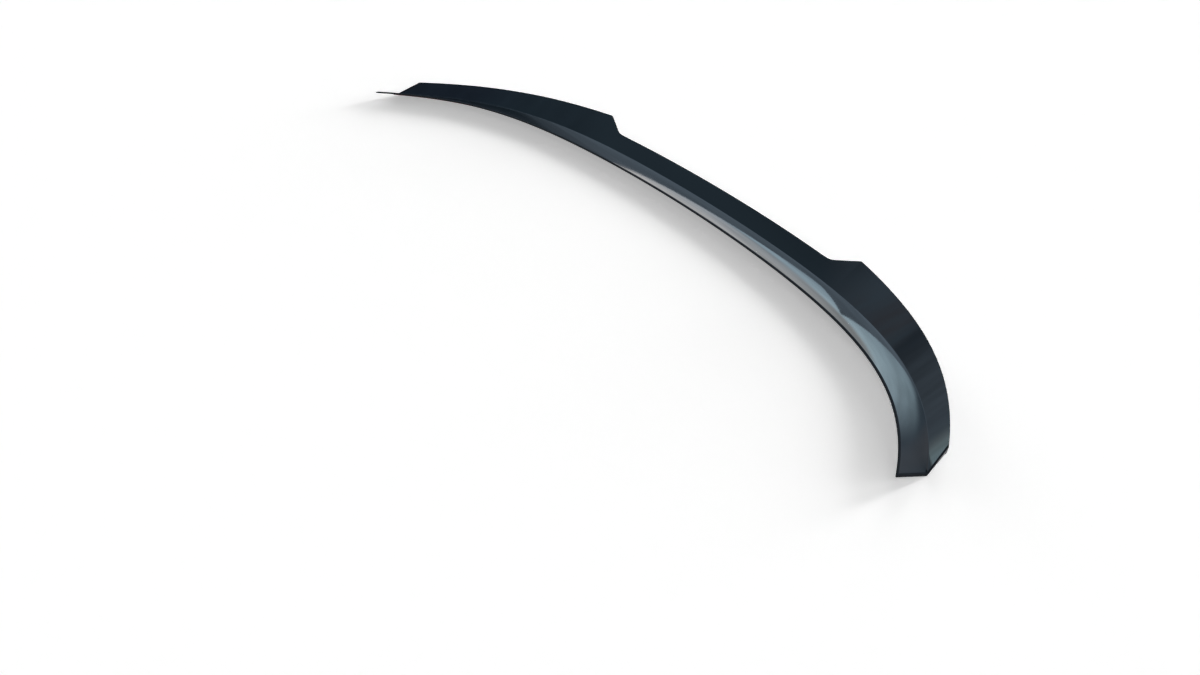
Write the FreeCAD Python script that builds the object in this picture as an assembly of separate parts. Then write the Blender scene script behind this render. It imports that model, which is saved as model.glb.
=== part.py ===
import FreeCAD, Part
import math
import os

# Spoiler extension for a car's boot lid: a crescent of moulded plastic sheet. A flange runs along its front,
# is taped to the lid and slopes down to a fold; behind the fold a lip rises to the trailing edge. The lip is
# cut back over the middle of the car. Millimetres, +X across the car, +Y to the rear, +Z up. It lies on its
# fold, which is level, as it does on a bench.

# Plan: the fold's half width, and how far the tips of the other two edges stop short of its corner
half_width = 625.0
front_tip_inset = 5.7
rear_tip_inset = 8.5

# Fold, seen from above: a shallow bow over the whole width, and a sweep that gathers towards the ends
fold_bow = 73.0
fold_end_sweep = 132.5
fold_sweep_power = 5.0

# Flange: its run from front edge to fold, how far the front edge lies above the fold, how far it is dished
# between them, which fades to the ends, and its own bow and sweep
flange_run = 49.6
flange_rise = 10.2
flange_end_rise = 4.2
flange_dish = 0.95
flange_dish_power = 6.0
front_bow = 91.0
front_end_sweep = 118.0
front_sweep_power = 5.7

# Lip: its slope, which eases from the crest of the ramp to the ends, and its run from fold to trailing edge in
# the middle, at the crest and at the ends
lip_angle = 32.4
lip_end_angle = 29.7
lip_run_middle = 25.3
lip_run_crest = 46.9
lip_run_end = 28.2

# Ramp of the trailing edge between the cut-back middle and the outer lip, with a soft bend at its foot
ramp_foot = 248.0
ramp_crest = 290.0
ramp_foot_softness = 6.0
ramp_lead_in = 30.0

# Sheet, measured upright, and the rim that turns down along the trailing edge and the lip's ends
sheet = 3.0
rim_depth = 8.0
rim_wall = 3.5
end_wall = 3.0

# Foam tape with its liner on the flange's underside: sizes at the middle of the car. It narrows with the flange.
tape_front_margin = 11.1
tape_width = 25.0
tape_end_margin = 15.0
tape_thickness = 1.1
liner_thickness = 0.15

points_per_curve = 25

down = FreeCAD.Vector(0, 0, -1)
front_tip = half_width - front_tip_inset
rear_tip = half_width - rear_tip_inset


def swept(x, bow, end_sweep, power):
    """How far forward of its middle an edge has swept at x."""
    share = abs(x) / half_width
    return bow * share ** 2 + end_sweep * share ** power


def place(station, tip):
    """X on an edge that ends at tip, for a station on the fold. They are the same up to the crest."""
    beyond = abs(station) - ramp_crest
    if beyond <= 0:
        return station
    stretch = (tip - ramp_crest) / (half_width - ramp_crest)
    return math.copysign(ramp_crest + beyond * stretch, station)


def lip_run(x):
    """Run of the lip from the fold to the trailing edge at x."""
    beyond = abs(x) - ramp_crest
    if beyond > 0:
        return lip_run_crest + (lip_run_end - lip_run_crest) * beyond / (rear_tip - ramp_crest)
    def climb(distance):
        return (distance + math.hypot(distance, ramp_foot_softness)) / 2
    step = lip_run_crest - lip_run_middle
    return lip_run_middle + step * climb(abs(x) - ramp_foot) / climb(ramp_crest - ramp_foot)


def lip_slope(x):
    eased = max(abs(x) - ramp_crest, 0) / (rear_tip - ramp_crest)
    return math.tan(math.radians(lip_angle + (lip_end_angle - lip_angle) * eased))


# The long edges of the part, each giving its point at a station

def fold_y(x):
    return -swept(x, fold_bow, fold_end_sweep, fold_sweep_power)


def fold_top(station):
    return origin_shift + FreeCAD.Vector(station, fold_y(station), sheet)


def fold_bottom(station):
    return fold_top(station) + down * sheet


def front_top(station):
    x = place(station, front_tip)
    y = -flange_run - swept(x, front_bow, front_end_sweep, front_sweep_power)
    rise = flange_rise + flange_end_rise * (x / half_width) ** 2
    return origin_shift + FreeCAD.Vector(x, y, sheet + rise)


def front_bottom(station):
    return front_top(station) + down * sheet


def flange_pull(station):
    """Middle pole of the shallow arc from front edge to fold, which pulls it down by half its own depth."""
    dish = flange_dish * (1 - (abs(station) / half_width) ** flange_dish_power)
    return (front_top(station) + fold_top(station)) * 0.5 + down * 2 * dish


def trailing_top(station):
    x = place(station, rear_tip)
    run = lip_run(x)
    return origin_shift + FreeCAD.Vector(x, fold_y(x) + run, sheet + lip_slope(x) * run)


def trailing_bottom(station):
    return trailing_top(station) + down * rim_depth


def rim_on_top(station):
    """Point on the lip's face above the inner wall of the rim."""
    fold, edge = fold_top(station), trailing_top(station)
    return edge + (fold - edge) * (rim_wall / lip_run(place(station, rear_tip)))


def rim_root(station):
    return rim_on_top(station) + down * sheet


def rim_bottom(station):
    return rim_on_top(station) + down * rim_depth


def along_flange(share, depth):
    """An edge along the flange, depth below its top, at a share of the way from the front edge to the fold."""
    def edge(station):
        front, pull, fold = front_top(station), flange_pull(station), fold_top(station)
        arc = front * (1 - share) ** 2 + pull * 2 * share * (1 - share) + fold * share ** 2
        return arc + down * depth
    return edge


# The origin is the middle of the part's box, on the bench
origin_shift = FreeCAD.Vector(0, 0, 0)
rearmost = max(trailing_top(0).y, trailing_top(ramp_crest).y)
origin_shift = FreeCAD.Vector(0, -(rearmost + front_top(half_width).y) / 2, 0)

# Stations where the edges change character, from left to right
ramp_lead = ramp_foot - ramp_lead_in
knots = [-half_width, -ramp_crest, -ramp_lead, ramp_lead, ramp_crest, half_width]


def curve_over(rail, start, stop):
    """The smooth curve of the piece of a long edge that holds both stations. Its parameter is the station."""
    first, last = next((a, b) for a, b in zip(knots, knots[1:]) if a <= start and stop <= b)
    stations = [first + (last - first) * i / (points_per_curve - 1) for i in range(points_per_curve)]
    curve = Part.BSplineCurve()
    curve.interpolate(Points=[rail(station) for station in stations], Parameters=stations)
    return curve


def ruled_strips(rails):
    """Strips of straight lines between each rail and the next. A strip gives its face between two stations."""
    def strip(rail, following):
        def face(start, stop):
            edges = [curve_over(edge, start, stop).toShape(start, stop) for edge in (rail, following)]
            return Part.makeRuledSurface(*edges)
        return face
    return [strip(rail, following) for rail, following in zip(rails, rails[1:])]


def flange_surface(depth, start, stop):
    """The dished surface depth below the flange's top. U is the station, V runs from 0 in front to 1 at the fold."""
    curves = [curve_over(rail, start, stop) for rail in (front_top, flange_pull, fold_top)]
    poles = [[pole + down * depth for pole in row] for row in zip(*[curve.getPoles() for curve in curves])]
    along = curves[0]
    surface = Part.BSplineSurface()
    surface.buildFromPolesMultsKnots(
        poles, along.getMultiplicities(), [3, 3], along.getKnots(), [0, 1], False, False, along.Degree, 2)
    return surface


def flange_strip(depth, near, far):
    """Strip of the dished surface between two shares of the way from the front edge to the fold."""
    def face(start, stop):
        surface = flange_surface(depth, start, stop)
        surface.segment(start, stop, near, far)
        return surface.toShape()
    return face


def faces_along(strips, stations):
    """The strips' faces over the stretches between stations."""
    return [strip(start, stop) for start, stop in zip(stations, stations[1:]) for strip in strips]


def flat_face(rails, station):
    """The flat face whose corners are the rails' points at one station."""
    corners = [curve_over(rail, station, station).value(station) for rail in rails]
    return Part.Face(Part.makePolygon(corners + corners[:1]))


def closed_solid(faces):
    shell = Part.makeShell(faces)
    shell.sewShape()
    return Part.makeSolid(shell)


def make_body():
    """The moulded sheet: hollow under the lip, closed by the rim behind and by a low wall at each end."""
    flange = [flange_strip(0, 0, 1), flange_strip(sheet, 0, 1)] + ruled_strips([front_bottom, front_top])
    lip = ruled_strips([fold_top, trailing_top, trailing_bottom, rim_bottom])
    hollow = ruled_strips([rim_bottom, rim_root, fold_bottom])
    walled = ruled_strips([rim_bottom, fold_bottom])
    wall = half_width - end_wall
    faces = faces_along(flange + lip + hollow, [-wall] + knots[1:-1] + [wall])
    for side in (-1, 1):
        tip = side * half_width
        faces += faces_along(flange + lip + walled, sorted([side * wall, tip]))
        faces.append(flat_face([fold_bottom, rim_root, rim_bottom], side * wall))
        faces.append(flat_face([front_top, fold_top, fold_bottom, front_bottom], tip))
        faces.append(flat_face([fold_top, trailing_top, trailing_bottom, rim_bottom, fold_bottom], tip))
    return closed_solid(faces)


def make_strip(top, bottom):
    """A strip of the tape's outline under the flange, between two depths below the sheet."""
    near = tape_front_margin / flange_run
    far = (tape_front_margin + tape_width) / flange_run
    depths = [sheet + top, sheet + bottom]
    strips = [flange_strip(depth, near, far) for depth in depths]
    for share in (near, far):
        strips += ruled_strips([along_flange(share, depth) for depth in depths])
    end = half_width - tape_end_margin
    faces = faces_along(strips, [-end] + knots[1:-1] + [end])
    for station in (-end, end):
        arcs = [flange_surface(depth, station, station).uIso(station).toShape(near, far) for depth in depths]
        faces.append(Part.makeRuledSurface(*arcs))
    return closed_solid(faces)


pieces = {
    "spoiler_body": make_body(),
    "mounting_tape": make_strip(0, tape_thickness),
    "release_liner": make_strip(tape_thickness, tape_thickness + liner_thickness),
}

os.makedirs("parts", exist_ok=True)
for name, piece in pieces.items():
    piece.exportStep("parts/" + name + ".step")
    print(name, piece.isValid(), piece.Volume, piece.BoundBox)
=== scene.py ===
import math

import bpy
import numpy as np
from mathutils import Matrix, Vector


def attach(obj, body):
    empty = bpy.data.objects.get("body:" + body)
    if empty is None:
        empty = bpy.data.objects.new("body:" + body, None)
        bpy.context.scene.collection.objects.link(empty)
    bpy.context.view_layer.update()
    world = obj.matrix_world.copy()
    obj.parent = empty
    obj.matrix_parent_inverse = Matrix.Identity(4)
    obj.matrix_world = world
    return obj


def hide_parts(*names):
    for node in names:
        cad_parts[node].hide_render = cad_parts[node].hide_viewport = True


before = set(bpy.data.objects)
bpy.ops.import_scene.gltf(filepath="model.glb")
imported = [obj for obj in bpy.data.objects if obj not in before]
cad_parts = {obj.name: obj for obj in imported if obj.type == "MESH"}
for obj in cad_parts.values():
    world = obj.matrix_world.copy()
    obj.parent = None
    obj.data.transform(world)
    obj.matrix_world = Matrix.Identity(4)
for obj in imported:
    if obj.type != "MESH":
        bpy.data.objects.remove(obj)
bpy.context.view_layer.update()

# Sizes of the moulding, as in the solids
half_width = 0.625
front_tip_inset = 0.0057
rear_tip_inset = 0.0085
fold_bow = 0.073
fold_end_sweep = 0.1325
fold_sweep_power = 5.0
flange_run = 0.0496
flange_rise = 0.0102
flange_end_rise = 0.0042
front_bow = 0.091
front_end_sweep = 0.118
front_sweep_power = 5.7
flange_dish = 0.00095
flange_dish_power = 6.0
lip_angle = 32.4
lip_end_angle = 29.7
lip_run_middle = 0.0253
lip_run_crest = 0.0469
lip_run_end = 0.0282
ramp_foot = 0.248
ramp_crest = 0.290
ramp_foot_softness = 0.006
sheet = 0.003
rim_depth = 0.008
rim_wall = 0.0035
end_wall = 0.003
tape_front_margin = 0.0111
tape_width = 0.025
tape_end_margin = 0.015
tape_thickness = 0.0011
liner_thickness = 0.00015

# Roundings, which the solids leave sharp
crest_softness = 0.0006
front_radius = 0.0013
front_under_radius = 0.0016
valley_radius = 0.0009
trailing_radius = 0.00025
rim_radius = 0.0010
rim_root_radius = 0.003
under_fold_radius = 0.004
end_radius = 0.0011
end_roll = 0.0028
pocket_end_radius = 0.002
foam_radius = 0.0003
film_radius = 0.00006

# How many times as far a rounding runs along the side after its corner as along the side before it
even_stretch = 1.0
front_stretch = 2.4

# The largest share of a side that a rounding may take up
longest_reach = 0.7

# The moulding's section, corner by corner: over the top from the front edge to the trailing edge, round the
# rim and back underneath. Radius, stretch, steps round the corner, steps along the flat to the next corner.
front_edge, valley, trailing_edge, rim_heel, rim_toe, rim_root, under_fold, front_under = range(8)
body_section = [
    (front_radius, front_stretch, 12, 20),
    (valley_radius, even_stretch, 6, 8),
    (trailing_radius, even_stretch, 6, 3),
    (rim_radius, even_stretch, 5, 2),
    (rim_radius, even_stretch, 5, 3),
    (rim_root_radius, even_stretch, 7, 6),
    (under_fold_radius, even_stretch, 8, 20),
    (front_under_radius, even_stretch, 6, 2),
]

# Steps of a strip's section: round a corner, across its faces and down its edges
strip_corner_steps = 3
strip_face_steps = 6
strip_edge_steps = 2

# Stations along one half of the moulding: inside the ramp, over it and outside it, and round the end of the
# hollow and of the part. The stretch over the ramp begins before its foot and ends after its crest.
inner_count = 75
ramp_count = 110
outer_count = 120
end_count = 9
ramp_lead = 0.025
ramp_run_out = 0.012

# Stations along one half of a strip, and at each end
strip_count = 260
strip_end_count = 4

# Width of the painted shade line, dark and matt, along each end of the lip's top
lip_end_shade_line = 0.0042

front_tip = half_width - front_tip_inset
rear_tip = half_width - rear_tip_inset
down = np.array([0.0, 0.0, -1.0])
sideways = np.array([1.0, 0.0, 0.0])


# Edges of the moulding

def swept(x, bow, end_sweep, power):
    """How far forward of its middle an edge has swept at x."""
    share = np.abs(x) / half_width
    return bow * share ** 2 + end_sweep * share ** power


def place(station, tip):
    """X on an edge that ends at tip, for a station on the fold."""
    beyond = np.maximum(np.abs(station) - ramp_crest, 0)
    stretch = (tip - ramp_crest) / (half_width - ramp_crest)
    return station + np.sign(station) * beyond * (stretch - 1)


def climb(distance):
    """Distance past the foot of the ramp, softened so that it nears 0 before the foot."""
    return (distance + np.hypot(distance, ramp_foot_softness)) / 2


def lip_run(x):
    """Run of the lip from the fold to the trailing edge, with the crest of the ramp slightly rounded."""
    step = lip_run_crest - lip_run_middle
    inner = lip_run_middle + step * climb(np.abs(x) - ramp_foot) / climb(ramp_crest - ramp_foot)
    outer = lip_run_crest + (lip_run_end - lip_run_crest) * (np.abs(x) - ramp_crest) / (rear_tip - ramp_crest)
    return (inner + outer - np.hypot(inner - outer, crest_softness)) / 2


def lip_slope(x):
    """Slope of the lip, which eases from the crest of the ramp to the ends."""
    eased = np.maximum(np.abs(x) - ramp_crest, 0) / (rear_tip - ramp_crest)
    return np.tan(np.radians(lip_angle + (lip_end_angle - lip_angle) * eased))


def fold_y(x):
    return -swept(x, fold_bow, fold_end_sweep, fold_sweep_power)


def front_y(x):
    return -flange_run - swept(x, front_bow, front_end_sweep, front_sweep_power)


# The middle of the part, from its front tips to its rearmost edge, goes to Y = 0
rearmost = max(lip_run_middle, fold_y(ramp_crest) + lip_run_crest)
shift = -(rearmost + front_y(front_tip)) / 2


def edges_at(station):
    """The front edge, the fold, the trailing edge and the line over the rim's inside, as rows of points."""
    x_front = place(station, front_tip)
    x_rear = place(station, rear_tip)
    run = lip_run(x_rear)
    rise = flange_rise + flange_end_rise * (x_front / half_width) ** 2
    front = np.stack([x_front, front_y(x_front) + shift, sheet + rise], axis=1)
    fold = np.stack([station, fold_y(station) + shift, np.full_like(station, sheet)], axis=1)
    rear = np.stack([x_rear, fold_y(x_rear) + run + shift, sheet + lip_slope(x_rear) * run], axis=1)
    over_rim = rear + (fold - rear) * (rim_wall / run)[:, None]
    return front, fold, rear, over_rim


# Lofted meshes with rounded sections

def rounded_corner(before, corner, after, radius, stretch, steps):
    """Points of the arc that rounds one corner of the sections, for rows of corner points.

    It runs stretch times as far along the side after the corner as along the side before it."""
    back = corner - before
    ahead = after - corner
    length_back = np.linalg.norm(back, axis=1, keepdims=True)
    length_ahead = np.linalg.norm(ahead, axis=1, keepdims=True)
    back = back / length_back
    ahead = ahead / length_ahead
    turn = np.arccos((back * ahead).sum(axis=1, keepdims=True))
    half = np.tan(turn / 2)
    reach = np.minimum(radius * half, longest_reach * np.minimum(length_back, length_ahead / stretch))
    points = []
    for step in range(steps + 1):
        angle = turn * step / steps
        aside = (1 - np.cos(angle)) / np.sin(turn)
        from_back = (np.sin(angle) - aside * np.cos(turn)) / half - 1
        points.append(corner + reach * (from_back * back + stretch * aside / half * ahead))
    return points


def rounded_section(corners, plan):
    """Sections with rounded corners, as an array of station by point, and each arc's first and last point."""
    following = corners[1:] + corners[:1]
    arcs = []
    for i, (radius, stretch, arc_steps, _) in enumerate(plan):
        arcs.append(rounded_corner(corners[i - 1], corners[i], following[i], radius, stretch, arc_steps))
    points = []
    spans = []
    for arc, next_arc, (*_, flat_steps) in zip(arcs, arcs[1:] + arcs[:1], plan):
        spans.append((len(points), len(points) + len(arc) - 1))
        points += arc
        flat = next_arc[0] - arc[-1]
        points += [arc[-1] + flat * step / flat_steps for step in range(1, flat_steps)]
    return np.stack(points, axis=1), spans


def dished(loops, station):
    """Sinks the flange a little between its front edge and the fold, fading to the ends."""
    front, fold = edges_at(station)[:2]
    across = (fold[:, None, 1] - loops[:, :, 1]) / (fold - front)[:, None, 1]
    across = np.clip(across, 0, 1)
    sunk = loops.copy()
    depth = flange_dish * (1 - (np.abs(station) / half_width) ** flange_dish_power)
    # 4 t (1 - t) is 1 halfway and 0 at both edges
    sunk[:, :, 2] -= depth[:, None] * 4 * across * (1 - across)
    return sunk


def end_stations(tip, roll, radius, count):
    """Stations of an end that is rounded over the length of roll, and how far each section is drawn in."""
    angle = np.linspace(0, math.pi / 2, count)
    return tip - roll * (1 - np.sin(angle)), radius * (1 - np.cos(angle))


def both_sides(half, mirror=1):
    """Values along the whole part from those along its right half, times mirror on the left."""
    return np.concatenate([mirror * half[:0:-1], half])


def drawn_in(loops, inset):
    """Moves each point of the sections into the material by the section's inset."""
    along = np.roll(loops, -1, axis=1) - np.roll(loops, 1, axis=1)
    inward = np.cross(along, sideways)
    inward /= np.linalg.norm(inward, axis=2, keepdims=True)
    return loops + inward * inset[:, None, None]


def lofted(name, loops, cap_parts):
    """A closed mesh through the sections, with caps at both ends and normals weighted by face area."""
    stations, points = loops.shape[:2]
    vertices = loops.reshape(-1, 3)
    index = np.arange(stations * points).reshape(stations, points)
    beside = np.roll(index, -1, axis=1)
    quads = np.stack([index[:-1], beside[:-1], beside[1:], index[1:]], axis=2).reshape(-1, 4)
    faces = [list(map(int, quad)) for quad in quads]
    for part in cap_parts:
        faces.append([int(index[0, k]) for k in reversed(part)])
        faces.append([int(index[-1, k]) for k in part])
    mesh = bpy.data.meshes.new(name)
    mesh.from_pydata([tuple(map(float, v)) for v in vertices], [], faces)
    mesh.validate()
    normals = np.zeros((len(vertices), 3))
    for face in mesh.polygons:
        weighted = np.array(face.normal) * face.area
        for vertex in face.vertices:
            normals[vertex] += weighted
    normals /= np.linalg.norm(normals, axis=1, keepdims=True)
    mesh.polygons.foreach_set("use_smooth", [True] * len(mesh.polygons))
    mesh.normals_split_custom_set_from_vertices([tuple(map(float, n)) for n in normals])
    piece = bpy.data.objects.new(name, mesh)
    bpy.context.scene.collection.objects.link(piece)
    return piece


def body_stations():
    """Stations along the moulding, how open its hollow is at each, and how far its section is drawn in."""
    ends, inset = end_stations(half_width, end_roll, end_radius, end_count)
    wall = half_width - end_wall
    pocket_angle = np.linspace(0, math.pi / 2, end_count)
    pocket = wall - pocket_end_radius * (1 - np.sin(pocket_angle))
    ramp_start = ramp_foot - ramp_lead
    ramp_stop = ramp_crest + ramp_run_out
    inner = np.linspace(0, ramp_start, inner_count)[:-1]
    ramp = np.linspace(ramp_start, ramp_stop, ramp_count)[:-1]
    outer = np.linspace(ramp_stop, pocket[0], outer_count)[:-1]
    open_stretch = np.concatenate([inner, ramp, outer])
    half = np.concatenate([open_stretch, pocket, ends])
    openness = np.concatenate([np.ones(len(open_stretch)), np.cos(pocket_angle), np.zeros(len(ends))])
    insets = np.concatenate([np.zeros(len(half) - len(ends)), inset])
    return both_sides(half, -1), both_sides(openness), both_sides(insets)


def close_hollow(loops, start, stop, openness):
    """Flattens the hollow, the points from start to stop, to a straight line where openness falls to 0."""
    hollow = loops[:, start:stop + 1]
    steps = np.linalg.norm(np.diff(hollow, axis=1), axis=2)
    share = np.concatenate([np.zeros((len(loops), 1)), np.cumsum(steps, axis=1)], axis=1)
    share = (share / share[:, -1:])[:, :, None]
    closed = hollow[:, :1] + (hollow[:, -1:] - hollow[:, :1]) * share
    loops[:, start:stop + 1] = closed + (hollow - closed) * openness[:, None, None]


def label_faces(piece, label, rows, caps):
    """Stores a value for each face: the rows of faces from end to end, then the caps."""
    values = np.concatenate([rows.ravel(), caps])
    piece.data.attributes.new(label, "FLOAT", "FACE").data.foreach_set("value", values)


def make_body():
    """The moulded sheet: hollow under the lip, closed by the rim behind and by a low wall at each end."""
    station, openness, insets = body_stations()
    front, fold, rear, over_rim = edges_at(station)
    corners = [front, fold, rear,
               rear + down * rim_depth, over_rim + down * rim_depth, over_rim + down * sheet,
               fold + down * sheet, front + down * sheet]
    loops, spans = rounded_section(corners, body_section)
    hollow_start = spans[rim_toe][1]
    close_hollow(loops, hollow_start, spans[under_fold][0], openness)
    loops = dished(drawn_in(loops, insets), station)
    points = loops.shape[1]
    fold_point = sum(spans[valley]) // 2
    heel_point = sum(spans[under_fold]) // 2
    lip_cap = list(range(fold_point, heel_point + 1))
    flange_cap = list(range(heel_point, points)) + list(range(fold_point + 1))
    moulding = lofted("spoiler_moulding", loops, [lip_cap, flange_cap])

    # Edges are matt where they were trimmed, and darker with painted shade
    trimmed_and_shade = np.zeros((len(station) - 1, points))
    trimmed_and_shade[:, spans[front_under][0]:] = 1
    trimmed_and_shade[:, :spans[front_edge][1]] = 1
    trimmed_and_shade[:, slice(*spans[trailing_edge])] = 1
    trimmed_and_shade[:, spans[rim_heel][0]:hollow_start] = 1
    trimmed_and_shade[np.maximum(insets[:-1], insets[1:]) > 0] = 1
    # Painted shade: a band of the lip's top at each end is marked as well, so that it renders dark and matt
    nearest = np.minimum(np.abs(station[:-1]), np.abs(station[1:]))
    trimmed_and_shade[nearest > half_width - lip_end_shade_line, fold_point:spans[trailing_edge][0]] = 1
    # The side that lay away from the mould is satin
    satin = np.zeros_like(trimmed_and_shade)
    satin[:, hollow_start:spans[front_under][0]] = 1
    # The caps are both of the lip's, then both of the flange's
    label_faces(moulding, "trimmed_and_shade", trimmed_and_shade, [0, 0, 1, 1])
    label_faces(moulding, "satin", satin, [1, 1, 1, 1])
    return moulding


def make_strip(name, top, bottom, radius):
    """A strip of the tape's outline under the flange, between two depths below the sheet."""
    tip = half_width - tape_end_margin
    ends, inset = end_stations(tip, radius, radius, strip_end_count)
    half = np.concatenate([np.linspace(0, ends[0], strip_count)[:-1], ends])
    insets = both_sides(np.concatenate([np.zeros(len(half) - len(ends)), inset]))
    station = both_sides(half, -1)
    front, fold = edges_at(station)[:2]
    def under(margin, depth):
        return front + (fold - front) * (margin / flange_run) + down * (sheet + depth)
    rear_margin = tape_front_margin + tape_width
    corners = [under(tape_front_margin, top), under(rear_margin, top), under(rear_margin, bottom),
               under(tape_front_margin, bottom)]
    flats = [strip_face_steps, strip_edge_steps] * 2
    loops = rounded_section(corners, [(radius, even_stretch, strip_corner_steps, flat) for flat in flats])[0]
    loops = dished(drawn_in(loops, insets), station)
    return lofted(name, loops, [list(range(loops.shape[1]))])


body = make_body()
tape = make_strip("foam_tape", 0, tape_thickness, foam_radius)
liner = make_strip("red_liner", tape_thickness, tape_thickness + liner_thickness, film_radius)


# Materials

# The range that most values of a noise lie in
noise_low = 0.3
noise_high = 0.7


def new_material(name):
    material = bpy.data.materials.new(name)
    material.use_nodes = True
    tree = material.node_tree
    return material, tree, tree.nodes["Principled BSDF"]


def add(tree, kind, **sockets):
    node = tree.nodes.new(kind)
    for socket, value in sockets.items():
        node.inputs[socket].default_value = value
    return node


def mixed(tree, factor, first, second):
    """The first colour where factor is 0, the second where it is 1. The second may be a plain colour."""
    mix = tree.nodes.new("ShaderNodeMix")
    mix.data_type = "RGBA"
    tree.links.new(factor, mix.inputs["Factor"])
    tree.links.new(first, mix.inputs["A"])
    if isinstance(second, tuple):
        mix.inputs["B"].default_value = (*second, 1)
    else:
        tree.links.new(second, mix.inputs["B"])
    return mix.outputs["Result"]


def mixed_value(tree, factor, first, second):
    """The first value where factor is 0, the second where it is 1."""
    mix = tree.nodes.new("ShaderNodeMix")
    tree.links.new(factor, mix.inputs[0])
    tree.links.new(first, mix.inputs[2])
    tree.links.new(second, mix.inputs[3])
    return mix.outputs[0]


def noise(tree, place_of, scale, detail):
    """Value of a noise with this many spots to each unit of place."""
    texture = add(tree, "ShaderNodeTexNoise", Scale=scale, Detail=detail)
    tree.links.new(place_of, texture.inputs["Vector"])
    return texture.outputs["Fac"]


def stretched(tree, place_of, scale):
    """The place, scaled along each axis."""
    mapping = add(tree, "ShaderNodeMapping", Scale=scale)
    tree.links.new(place_of, mapping.inputs["Vector"])
    return mapping.outputs["Vector"]


def between(tree, value, low, high, from_low=noise_low, from_high=noise_high):
    """The value's range from_low to from_high spread over low to high."""
    spread = tree.nodes.new("ShaderNodeMapRange")
    for socket, number in zip(("From Min", "From Max", "To Min", "To Max"), (from_low, from_high, low, high)):
        spread.inputs[socket].default_value = number
    tree.links.new(value, spread.inputs["Value"])
    return spread.outputs["Result"]


def tinted(tree, value, dark, pale):
    """A colour that goes from dark to pale with the value of a noise."""
    ramp = tree.nodes.new("ShaderNodeValToRGB")
    for element, position, colour in zip(ramp.color_ramp.elements, (noise_low, noise_high), (dark, pale)):
        element.position = position
        element.color = (*colour, 1)
    tree.links.new(value, ramp.inputs["Fac"])
    return ramp.outputs["Color"]


def attribute(tree, label):
    node = tree.nodes.new("ShaderNodeAttribute")
    node.attribute_name = label
    return node.outputs["Fac"]


def bumped(tree, shader, height, strength, distance):
    bump = add(tree, "ShaderNodeBump", Strength=strength, Distance=distance)
    tree.links.new(height, bump.inputs["Height"])
    tree.links.new(bump.outputs["Normal"], shader.inputs["Normal"])


def gloss_plastic():
    """Black plastic: mould-polished top, satin underneath, matt trimmed edges darkened with painted shade."""
    material, tree, shader = new_material("gloss_black_plastic")
    place_of = tree.nodes.new("ShaderNodeTexCoord").outputs["Object"]
    clouds = noise(tree, place_of, scale=9.0, detail=3.0)
    colour = tinted(tree, clouds, dark=(0.0108, 0.0122, 0.0146), pale=(0.0122, 0.0138, 0.0164))
    grain = noise(tree, place_of, scale=400.0, detail=2.0)
    # Painted shade: the trimmed edges and the bands at the lip's ends are darker than the rest of the plastic
    edge_shade_colour = tinted(tree, grain, dark=(0.003, 0.003, 0.004), pale=(0.006, 0.006, 0.007))
    trimmed_and_shade = attribute(tree, "trimmed_and_shade")
    tree.links.new(mixed(tree, trimmed_and_shade, colour, edge_shade_colour), shader.inputs["Base Color"])
    polish = between(tree, noise(tree, place_of, scale=40.0, detail=5.0), low=0.030, high=0.045)
    satin = between(tree, noise(tree, place_of, scale=120.0, detail=4.0), low=0.20, high=0.30)
    matt = between(tree, noise(tree, place_of, scale=900.0, detail=2.0), low=0.86, high=0.96)
    faces = mixed_value(tree, attribute(tree, "satin"), polish, satin)
    tree.links.new(mixed_value(tree, trimmed_and_shade, faces, matt), shader.inputs["Roughness"])
    bumped(tree, shader, noise(tree, place_of, scale=180.0, detail=2.0), strength=0.012, distance=0.0005)
    return material


def foam():
    """Dark acrylic foam with fine open cells."""
    material, tree, shader = new_material("dark_foam")
    place_of = tree.nodes.new("ShaderNodeTexCoord").outputs["Object"]
    cells = add(tree, "ShaderNodeTexVoronoi", Scale=2500.0)
    tree.links.new(place_of, cells.inputs["Vector"])
    grain = noise(tree, place_of, scale=700.0, detail=3.0)
    colour = tinted(tree, grain, dark=(0.014, 0.015, 0.017), pale=(0.026, 0.027, 0.029))
    tree.links.new(colour, shader.inputs["Base Color"])
    tree.links.new(between(tree, grain, low=0.8, high=0.95), shader.inputs["Roughness"])
    bumped(tree, shader, cells.outputs["Distance"], strength=0.5, distance=0.0002)
    return material


def red_film():
    """Red release film: even colour, satin face, faint streaks along its length and slight ripples."""
    material, tree, shader = new_material("red_film")
    place_of = tree.nodes.new("ShaderNodeTexCoord").outputs["Object"]
    along = stretched(tree, place_of, scale=(6.0, 160.0, 160.0))
    streaks = noise(tree, along, scale=1.0, detail=3.0)
    colour = tinted(tree, streaks, dark=(0.735, 0.056, 0.083), pale=(0.785, 0.064, 0.097))
    tree.links.new(colour, shader.inputs["Base Color"])
    gloss = between(tree, noise(tree, place_of, scale=60.0, detail=4.0), low=0.32, high=0.45)
    tree.links.new(gloss, shader.inputs["Roughness"])
    bumped(tree, shader, noise(tree, place_of, scale=35.0, detail=2.0), strength=0.15, distance=0.0006)
    return material


for piece, node, slot, material in (
    (body, "spoiler_body", "body_plastic", gloss_plastic()),
    (tape, "mounting_tape", "tape_foam", foam()),
    (liner, "release_liner", "liner_film", red_film()),
):
    piece.data.materials.append(material)
    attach(piece, "root")
    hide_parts(node)

# The liner throws no red light on the floor
liner.visible_diffuse = False


# Floor: half its side, its colour, and the light of its own that lifts it to white

floor_reach = 30
floor_white = 0.94
floor_lift = 0.39


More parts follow.
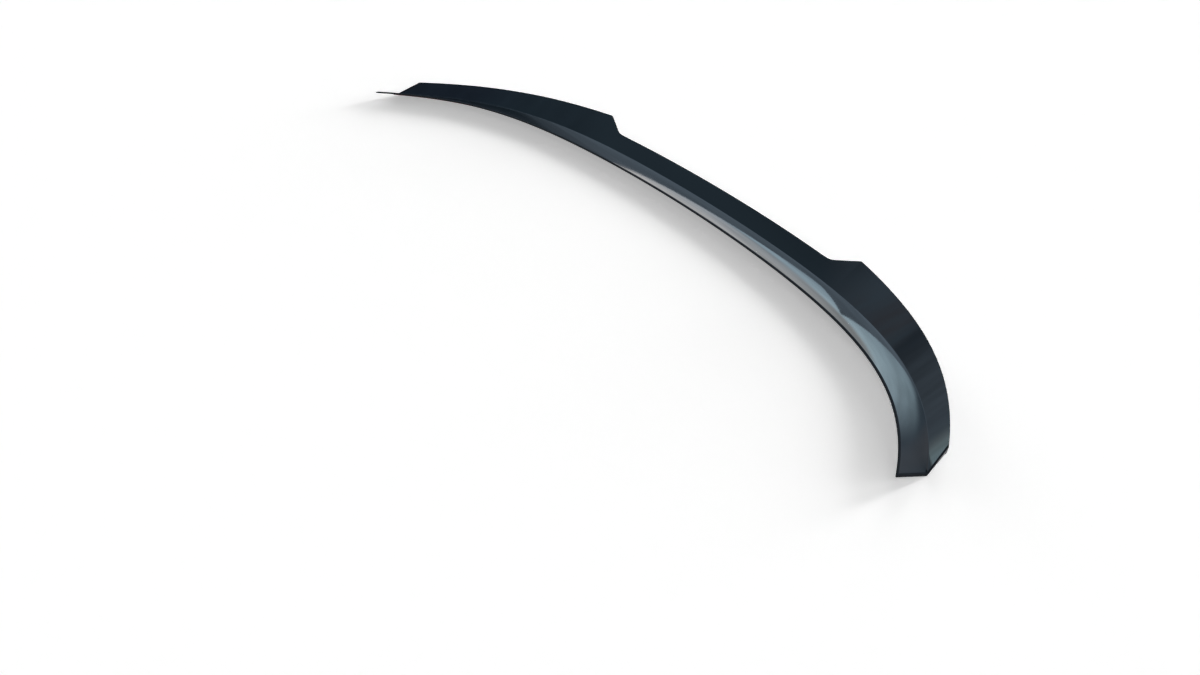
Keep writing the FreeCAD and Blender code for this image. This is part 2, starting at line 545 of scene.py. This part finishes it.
def make_floor():
    """White floor for the shadow, clear from below. The pieces mirror the world instead of it."""
    mesh = bpy.data.meshes.new("floor")
    corners = [(-1, -1), (1, -1), (1, 1), (-1, 1)]
    mesh.from_pydata([(x * floor_reach, y * floor_reach, 0) for x, y in corners], [], [(0, 1, 2, 3)])
    floor = bpy.data.objects.new("floor", mesh)
    bpy.context.scene.collection.objects.link(floor)
    material = bpy.data.materials.new("white_floor")
    material.use_nodes = True
    tree = material.node_tree
    tree.nodes.clear()
    out = tree.nodes.new("ShaderNodeOutputMaterial")
    white = add(tree, "ShaderNodeBsdfDiffuse", Color=(floor_white, floor_white, floor_white, 1))
    lift = add(tree, "ShaderNodeEmission", Color=(1, 1, 1, 1), Strength=floor_lift)
    both = tree.nodes.new("ShaderNodeAddShader")
    clear = tree.nodes.new("ShaderNodeBsdfTransparent")
    side = tree.nodes.new("ShaderNodeNewGeometry")
    either = tree.nodes.new("ShaderNodeMixShader")
    tree.links.new(white.outputs[0], both.inputs[0])
    tree.links.new(lift.outputs[0], both.inputs[1])
    tree.links.new(side.outputs["Backfacing"], either.inputs[0])
    tree.links.new(both.outputs[0], either.inputs[1])
    tree.links.new(clear.outputs[0], either.inputs[2])
    tree.links.new(either.outputs[0], out.inputs[0])
    mesh.materials.append(material)
    floor.visible_diffuse = False
    floor.visible_glossy = False
    floor.visible_shadow = False


make_floor()


# World. Colours are in units where 1 is white, and none is above sky_peak.

sky_peak = 3.0

# What the gloss mirrors, by elevation in degrees: the room, and the two panes of its window
floor_stops = [(-60, 0.75, 0.75, 0.75), (-6, 0.9, 0.9, 0.9)]
upper_stops = [(34, 0.22, 0.30, 0.40), (47, 0.21, 0.34, 0.46), (58, 0.20, 0.34, 0.48), (70, 0.15, 0.24, 0.39)]
room_stops = floor_stops + [
    (3, 0.95, 1.0, 1.0), (6, 1.0, 1.45, 1.65), (9.5, 0.95, 1.3, 1.42), (12.6, 0.92, 1.15, 1.25),
    (14.2, 0.45, 0.62, 0.72), (18, 0.22, 0.32, 0.42)] + upper_stops
window_top_stops = [(19.5, 1.9, 2.6, 3.0), (20.6, 0.30, 0.43, 0.55)] + upper_stops
left_pane_stops = floor_stops + [
    (3, 0.95, 0.95, 0.95), (5.5, 1.75, 1.75, 1.75), (11.2, 1.7, 1.72, 1.75),
    (12.4, 1.95, 2.6, 2.95)] + window_top_stops
right_pane_stops = floor_stops + [
    (3, 0.9, 0.9, 0.9), (6, 1.05, 1.07, 1.07), (11.6, 1.18, 1.2, 1.2),
    (12.6, 1.95, 2.6, 2.95)] + window_top_stops

# Round patches of it: azimuth, elevation, and the angles from there at which it has faded out and is full
left_pane = (-128, 10, 20, 4)
window_fade = (-128, 12, 46, 8)
window_frame = (-139, 12, 28, 20.5)
glow = (-130, 33, 28, 16)
shine = (-97, 23, 14, 6)
card = (-167, 26, 6.5, 4.5)
panel = (-86.5, 42, 6, 3)

glow_colour = (0.82, 1.08, 1.35)
shine_colour = (0.42, 0.55, 0.69)
card_colour = (0.44, 0.49, 0.57)
panel_colours = (0.46, 0.47, 0.56), (0.38, 0.54, 0.70)

# Light on the pieces from all around, by elevation
ambient_stops = [(-12, 0.85, 0.85, 0.85), (12, 0.06, 0.06, 0.06)]


def direction(azimuth, elevation):
    """Unit vector. Azimuth 0 is the front, 90 is +X."""
    a = math.radians(azimuth)
    e = math.radians(elevation)
    return Vector((math.sin(a) * math.cos(e), -math.cos(a) * math.cos(e), math.sin(e)))


def sky_colour(red, green, blue):
    return (red / sky_peak, green / sky_peak, blue / sky_peak)


def elevation_ramp(tree, height, stops):
    """Colour by elevation, from a height of 0 straight down to 1 straight up."""
    ramp = tree.nodes.new("ShaderNodeValToRGB")
    elements = ramp.color_ramp.elements
    while len(elements) < len(stops):
        elements.new(0.5)
    for element, (elevation, *colour) in zip(elements, stops):
        element.position = (math.sin(math.radians(elevation)) + 1) / 2
        element.color = (*sky_colour(*colour), 1)
    tree.links.new(height, ramp.inputs["Fac"])
    return ramp.outputs["Color"]


def in_patch(tree, place_of, patch):
    """1 in the middle of a patch, 0 outside it."""
    azimuth, elevation, edge, core = patch
    dot = tree.nodes.new("ShaderNodeVectorMath")
    dot.operation = "DOT_PRODUCT"
    dot.inputs[1].default_value = direction(azimuth, elevation)
    tree.links.new(place_of, dot.inputs[0])
    faded_out = math.cos(math.radians(edge))
    full = math.cos(math.radians(core))
    return between(tree, dot.outputs["Value"], low=0, high=1, from_low=faded_out, from_high=full)


def worked(tree, operation, first, second):
    """The result of a sum or product of a value with another value or a number."""
    node = tree.nodes.new("ShaderNodeMath")
    node.operation = operation
    tree.links.new(first, node.inputs[0])
    if isinstance(second, float):
        node.inputs[1].default_value = second
    else:
        tree.links.new(second, node.inputs[1])
    return node.outputs["Value"]


def scaled(tree, colour, factor):
    node = tree.nodes.new("ShaderNodeVectorMath")
    node.operation = "SCALE"
    tree.links.new(colour, node.inputs[0])
    tree.links.new(factor, node.inputs["Scale"])
    return node.outputs[0]


def studio(tree, place_of, height):
    """The room that the gloss mirrors, with a tall window behind and softly streaked walls."""
    panes = [elevation_ramp(tree, height, stops) for stops in (right_pane_stops, left_pane_stops)]
    window = mixed(tree, in_patch(tree, place_of, left_pane), *panes)
    in_fade = in_patch(tree, place_of, window_fade)
    in_frame = in_patch(tree, place_of, window_frame)
    at_window = worked(tree, "MULTIPLY", in_fade, in_frame)
    colour = mixed(tree, at_window, elevation_ramp(tree, height, room_stops), window)
    for patch, patch_colour in ((glow, glow_colour), (shine, shine_colour), (card, card_colour)):
        colour = mixed(tree, in_patch(tree, place_of, patch), colour, sky_colour(*patch_colour))
    level = stretched(tree, place_of, scale=(12.0, 12.0, 45.0))
    streaks = noise(tree, level, scale=1.0, detail=3.0)
    dark, pale = [sky_colour(*panel_colour) for panel_colour in panel_colours]
    colour = mixed(tree, in_patch(tree, place_of, panel), colour, tinted(tree, streaks, dark, pale))
    return scaled(tree, colour, between(tree, streaks, low=0.85, high=1.15))


def make_world():
    """White to the camera, even light on the pieces, and the studio for what they mirror."""
    world = bpy.data.worlds.new("studio")
    bpy.context.scene.world = world
    world.use_nodes = True
    tree = world.node_tree
    tree.nodes.clear()
    place_of = tree.nodes.new("ShaderNodeTexCoord").outputs["Generated"]
    split = tree.nodes.new("ShaderNodeSeparateXYZ")
    tree.links.new(place_of, split.inputs[0])
    # Height runs from 0 straight down to 1 straight up, and the ripple, close to 1, makes its levels uneven
    waves = noise(tree, place_of, scale=2.5, detail=2.0)
    ripple = between(tree, waves, low=0.97, high=1.03, from_low=0, from_high=1)
    height = worked(tree, "MULTIPLY", worked(tree, "ADD", split.outputs["Z"], ripple), 0.5)
    path = tree.nodes.new("ShaderNodeLightPath")
    ambient = elevation_ramp(tree, height, ambient_stops)
    colour = mixed(tree, path.outputs["Is Glossy Ray"], ambient, studio(tree, place_of, height))
    colour = mixed(tree, path.outputs["Is Camera Ray"], colour, sky_colour(1, 1, 1))
    background = add(tree, "ShaderNodeBackground", Strength=sky_peak)
    tree.links.new(colour, background.inputs["Color"])
    out = tree.nodes.new("ShaderNodeOutputWorld")
    tree.links.new(background.outputs[0], out.inputs[0])


make_world()


# Lights: low ones around the rear, by azimuth and share of the floor's light, and one from above

low_lights = [(110, 0.03), (145, 0.10), (180, 0.23), (215, 0.13), (255, 0.07)]
low_elevation = 9
low_spread = 18
top_azimuth = 0
top_elevation = 80
top_spread = 70
top_share = 0.03


def broad_light(name, azimuth, elevation, spread, floor_share):
    """A far, broad light that gives this share of the light under which a white floor is just white."""
    lamp = bpy.data.lights.new(name, "SUN")
    lamp.angle = math.radians(spread)
    lamp.energy = floor_share * math.pi / math.sin(math.radians(elevation))
    light = bpy.data.objects.new(name, lamp)
    light.rotation_euler = direction(azimuth, elevation).to_track_quat("Z", "Y").to_euler()
    light.visible_glossy = False
    bpy.context.scene.collection.objects.link(light)


for azimuth, floor_share in low_lights:
    broad_light("low_light", azimuth, low_elevation, low_spread, floor_share)
broad_light("top_light", top_azimuth, top_elevation, top_spread, top_share)


# Camera

camera_place = (1.2012, -0.9412, 0.7808)
camera_right = Vector((0.56539, 0.82409, 0.03489))
camera_forward = Vector((-0.68148, 0.49054, -0.54310))
camera_sensor = 36
camera_lens = 35


def make_camera():
    lens = bpy.data.cameras.new("camera")
    lens.sensor_width = camera_sensor
    lens.lens = camera_lens
    camera = bpy.data.objects.new("camera", lens)
    axes = Matrix((camera_right, camera_right.cross(camera_forward), -camera_forward)).transposed()
    camera.matrix_world = Matrix.Translation(camera_place) @ axes.to_4x4()
    bpy.context.scene.collection.objects.link(camera)
    bpy.context.scene.camera = camera


make_camera()
bpy.context.scene.view_settings.view_transform = "Standard"
